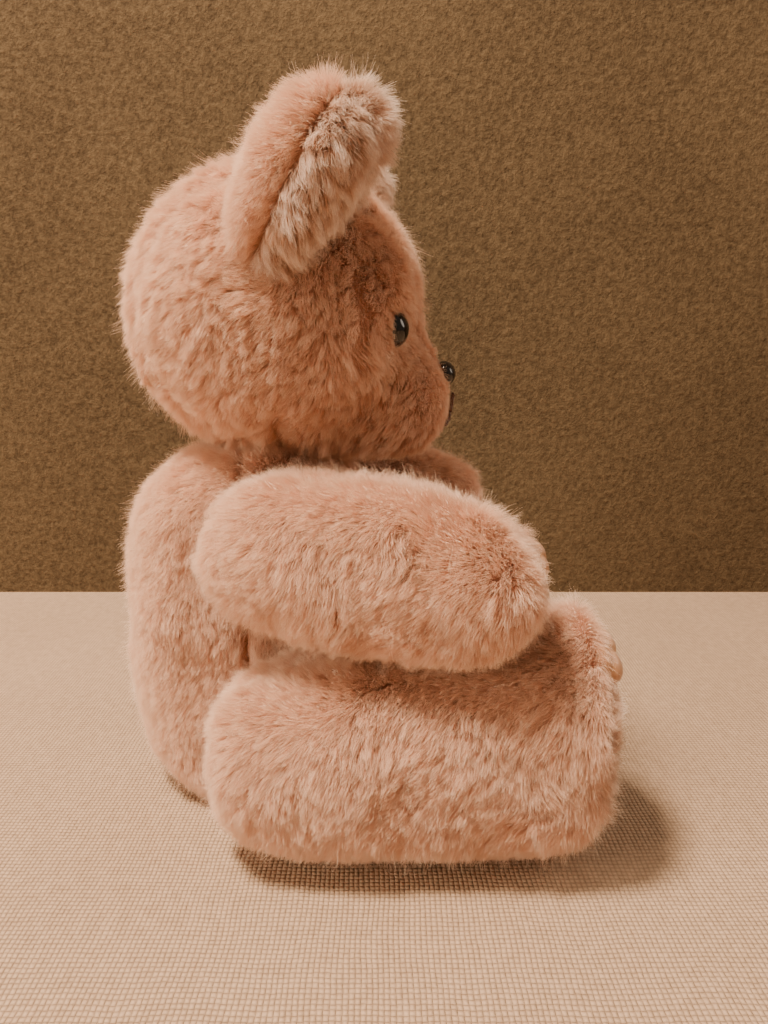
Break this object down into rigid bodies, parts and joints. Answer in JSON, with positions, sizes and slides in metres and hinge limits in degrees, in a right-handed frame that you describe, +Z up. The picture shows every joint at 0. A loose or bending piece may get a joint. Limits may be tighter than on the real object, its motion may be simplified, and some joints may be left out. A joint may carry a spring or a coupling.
{
  "type": "plush rabbit",
  "caption": "Seated jointed plush rabbit with a turning head, swinging arms and legs, short upright ears and padded soles.",
  "frame": {"origin": "on the floor under the middle of the sitting toy's box, at the height of its seat", "axes": "+Z up, the toy looks along -Y, its right side is at -X"},
  "size_m": [0.1254, 0.1378, 0.1904],
  "materials": {
    "plush": "dense short pile",
    "sole_plush": "short clipped pile",
    "stuffing": "polyester fibre",
    "pad_satin": "padded satin",
    "joint_plastic": "moulded",
    "eye_plastic": "polished",
    "nose_plastic": "polished",
    "thread": "matt thread"
  },
  "bodies": {
    "body": {"body_front_left": "plush", "body_back_left": "plush", "body_front_right": "plush", "body_back_right": "plush", "body_stuffing": "stuffing", "tail": "plush", "neck_plain_disc": "joint_plastic", "shoulder_plain_disc_left": "joint_plastic", "shoulder_plain_disc_right": "joint_plastic", "hip_plain_disc_left": "joint_plastic", "hip_plain_disc_right": "joint_plastic"},
    "head": {"head_gusset": "plush", "head_side_left": "plush", "head_side_right": "plush", "head_stuffing": "stuffing", "neck_stem_disc": "joint_plastic", "neck_washer": "joint_plastic", "nose": "nose_plastic", "nose_washer": "joint_plastic", "mouth_stitch": "thread", "eye_left": "eye_plastic", "eye_right": "eye_plastic", "eye_washer_left": "joint_plastic", "eye_washer_right": "joint_plastic", "ear_front_left": "plush", "ear_front_right": "plush", "ear_back_left": "plush", "ear_back_right": "plush", "ear_wadding_left": "stuffing", "ear_wadding_right": "stuffing"},
    "arm_left": {"arm_outer_left": "plush", "arm_inner_left": "plush", "arm_stuffing_left": "stuffing", "shoulder_stem_disc_left": "joint_plastic", "shoulder_washer_left": "joint_plastic"},
    "leg_left": {"leg_outer_left": "plush", "leg_inner_left": "plush", "leg_stuffing_left": "stuffing", "leg_sole_left": "sole_plush", "leg_toe_pads_left": "pad_satin", "leg_heel_pad_left": "pad_satin", "hip_stem_disc_left": "joint_plastic", "hip_washer_left": "joint_plastic"},
    "arm_right": {"arm_outer_right": "plush", "arm_inner_right": "plush", "arm_stuffing_right": "stuffing", "shoulder_stem_disc_right": "joint_plastic", "shoulder_washer_right": "joint_plastic"},
    "leg_right": {"leg_outer_right": "plush", "leg_inner_right": "plush", "leg_stuffing_right": "stuffing", "leg_sole_right": "sole_plush", "leg_toe_pads_right": "pad_satin", "leg_heel_pad_right": "pad_satin", "hip_stem_disc_right": "joint_plastic", "hip_washer_right": "joint_plastic"}
  },
  "joints": [
    {"name": "neck_swivel", "type": "hinge", "parent": "body", "child": "head", "pos_m": [0, 0.0265, 0.105], "axis": [0, 0, 1], "continuous": true},
    {"name": "shoulder_left", "type": "hinge", "parent": "body", "child": "arm_left", "pos_m": [0.02515, 0.0235, 0.081], "axis": [-1, 0, 0], "range_deg": [0, 194]},
    {"name": "hip_left", "type": "hinge", "parent": "body", "child": "leg_left", "pos_m": [0.02515, 0.0205, 0.025], "axis": [1, 0, 0], "range_deg": [0, 90]},
    {"name": "shoulder_right", "type": "hinge", "parent": "body", "child": "arm_right", "pos_m": [-0.02515, 0.0235, 0.081], "axis": [-1, 0, 0], "range_deg": [0, 190]},
    {"name": "hip_right", "type": "hinge", "parent": "body", "child": "leg_right", "pos_m": [-0.02515, 0.0205, 0.025], "axis": [1, 0, 0], "range_deg": [0, 90]}
  ]
}
